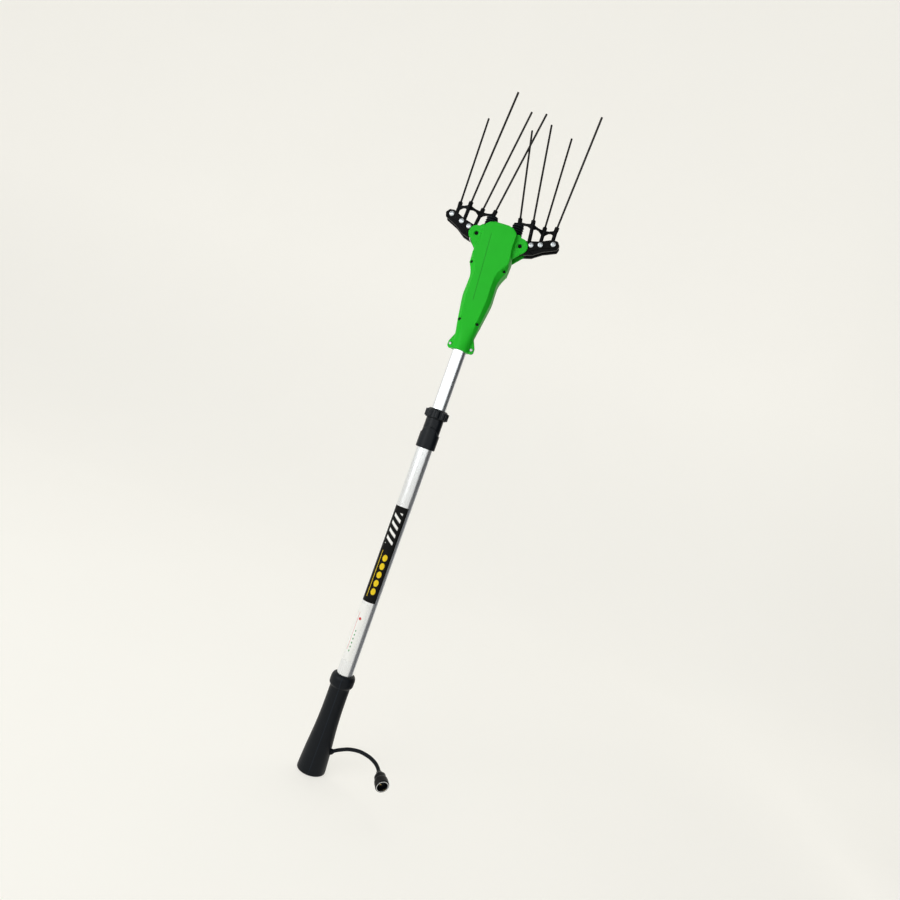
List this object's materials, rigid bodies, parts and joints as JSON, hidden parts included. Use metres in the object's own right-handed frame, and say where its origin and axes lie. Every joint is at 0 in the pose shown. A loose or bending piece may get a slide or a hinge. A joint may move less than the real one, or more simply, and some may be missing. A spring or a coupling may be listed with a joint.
{
  "type": "electric olive harvester",
  "caption": "Hand-held electric olive harvester: telescopic pole with twist lock, rubber grip and short lead, moulded motor head, and opposed beating hands with long thin tines.",
  "frame": {"origin": "on the pole axis at the hand's hold, 100 mm above the butt of the grip", "axes": "+Z along the pole towards the tines, -Y towards the front of the housing, +X towards the side the lead leaves from"},
  "size_m": [0.2755, 0.162, 1.3442],
  "materials": {
    "grip_rubber": "matte",
    "lead_jacket": "satin",
    "tube_alloy": "satin drawn",
    "black_plastic": "satin",
    "green_plastic": "gloss moulded",
    "bright_steel": "zinc plated",
    "dark_steel": "oiled",
    "bronze": "machined",
    "arm_plastic": "fine grained",
    "carbon_rod": "pultruded"
  },
  "bodies": {
    "handle": {"grip": "grip_rubber", "lower_tube": "tube_alloy", "cable_gland": "grip_rubber", "pigtail_lead": "lead_jacket", "connector_body": "black_plastic", "connector_ring": "bright_steel", "connector_insert": "black_plastic", "connector_contacts": "bronze", "clamp_sleeve": "black_plastic", "clamp_collet": "black_plastic"},
    "lock_ring": {"lock_ring": "black_plastic"},
    "mast": {"upper_tube": "tube_alloy", "slide_bush": "black_plastic", "inner_lead": "lead_jacket", "front_shell": "green_plastic", "rear_shell": "green_plastic", "shell_screws": "dark_steel", "lug_screws": "bright_steel", "lug_nuts": "bright_steel", "motor_can": "bright_steel", "motor_end_cap": "black_plastic", "motor_plate": "bright_steel", "plate_screws": "bright_steel", "crank_axle": "dark_steel", "pivot_pins": "dark_steel", "left_bellows": "grip_rubber", "right_bellows": "grip_rubber"},
    "pinion": {"motor_shaft": "dark_steel", "bevel_pinion": "bronze"},
    "crank": {"crank_gear": "dark_steel", "crank_bearing": "dark_steel", "crank_pin": "dark_steel", "crank_roller": "bronze"},
    "left_hand": {"left_lever": "arm_plastic", "left_bush": "bronze", "left_cheek_front": "arm_plastic", "left_cheek_rear": "arm_plastic", "left_bolts": "bright_steel", "left_bolt_nuts": "bright_steel", "left_comb": "arm_plastic", "left_tine_1": "carbon_rod", "left_tine_2": "carbon_rod", "left_tine_3": "carbon_rod", "left_tine_4": "carbon_rod"},
    "right_hand": {"right_lever": "arm_plastic", "right_bush": "bronze", "right_cheek_front": "arm_plastic", "right_cheek_rear": "arm_plastic", "right_bolts": "bright_steel", "right_bolt_nuts": "bright_steel", "right_comb": "arm_plastic", "right_tine_1": "carbon_rod", "right_tine_2": "carbon_rod", "right_tine_3": "carbon_rod", "right_tine_4": "carbon_rod"}
  },
  "joints": [
    {"name": "pole_slide", "type": "slide", "parent": "handle", "child": "mast", "axis": [0, 0, 1], "range_m": [-0.115, 0.39], "deforming": ["inner_lead"]},
    {"name": "lock_ring_turn", "type": "hinge", "parent": "handle", "child": "lock_ring", "pos_m": [0, 0, 0.63], "axis": [0, 0, 1], "range_deg": [0, 150]},
    {"name": "left_hand_swing", "type": "hinge", "parent": "mast", "child": "left_hand", "pos_m": [-0.044, 0.003, 0.9863], "axis": [0, -1, 0], "range_deg": [-9, 9], "deforming": ["left_bellows"]},
    {"name": "right_hand_swing", "type": "hinge", "parent": "mast", "child": "right_hand", "pos_m": [0.044, 0.003, 0.9863], "axis": [0, 1, 0], "range_deg": [-9, 9], "deforming": ["right_bellows"]},
    {"name": "crank_turn", "type": "hinge", "parent": "mast", "child": "crank", "pos_m": [0, 0, 0.9673], "axis": [0, -1, 0], "range_deg": [-90, 90]},
    {"name": "pinion_spin", "type": "hinge", "parent": "mast", "child": "pinion", "pos_m": [0, 0, 0.9445], "axis": [0, 0, 1], "range_deg": [-360, 360]}
  ],
  "couplings": [
    {"joint": "right_hand_swing", "follows": "left_hand_swing", "ratio": 1},
    {"joint": "crank_turn", "follows": "left_hand_swing", "ratio": 10},
    {"joint": "pinion_spin", "follows": "left_hand_swing", "ratio": 40}
  ]
}
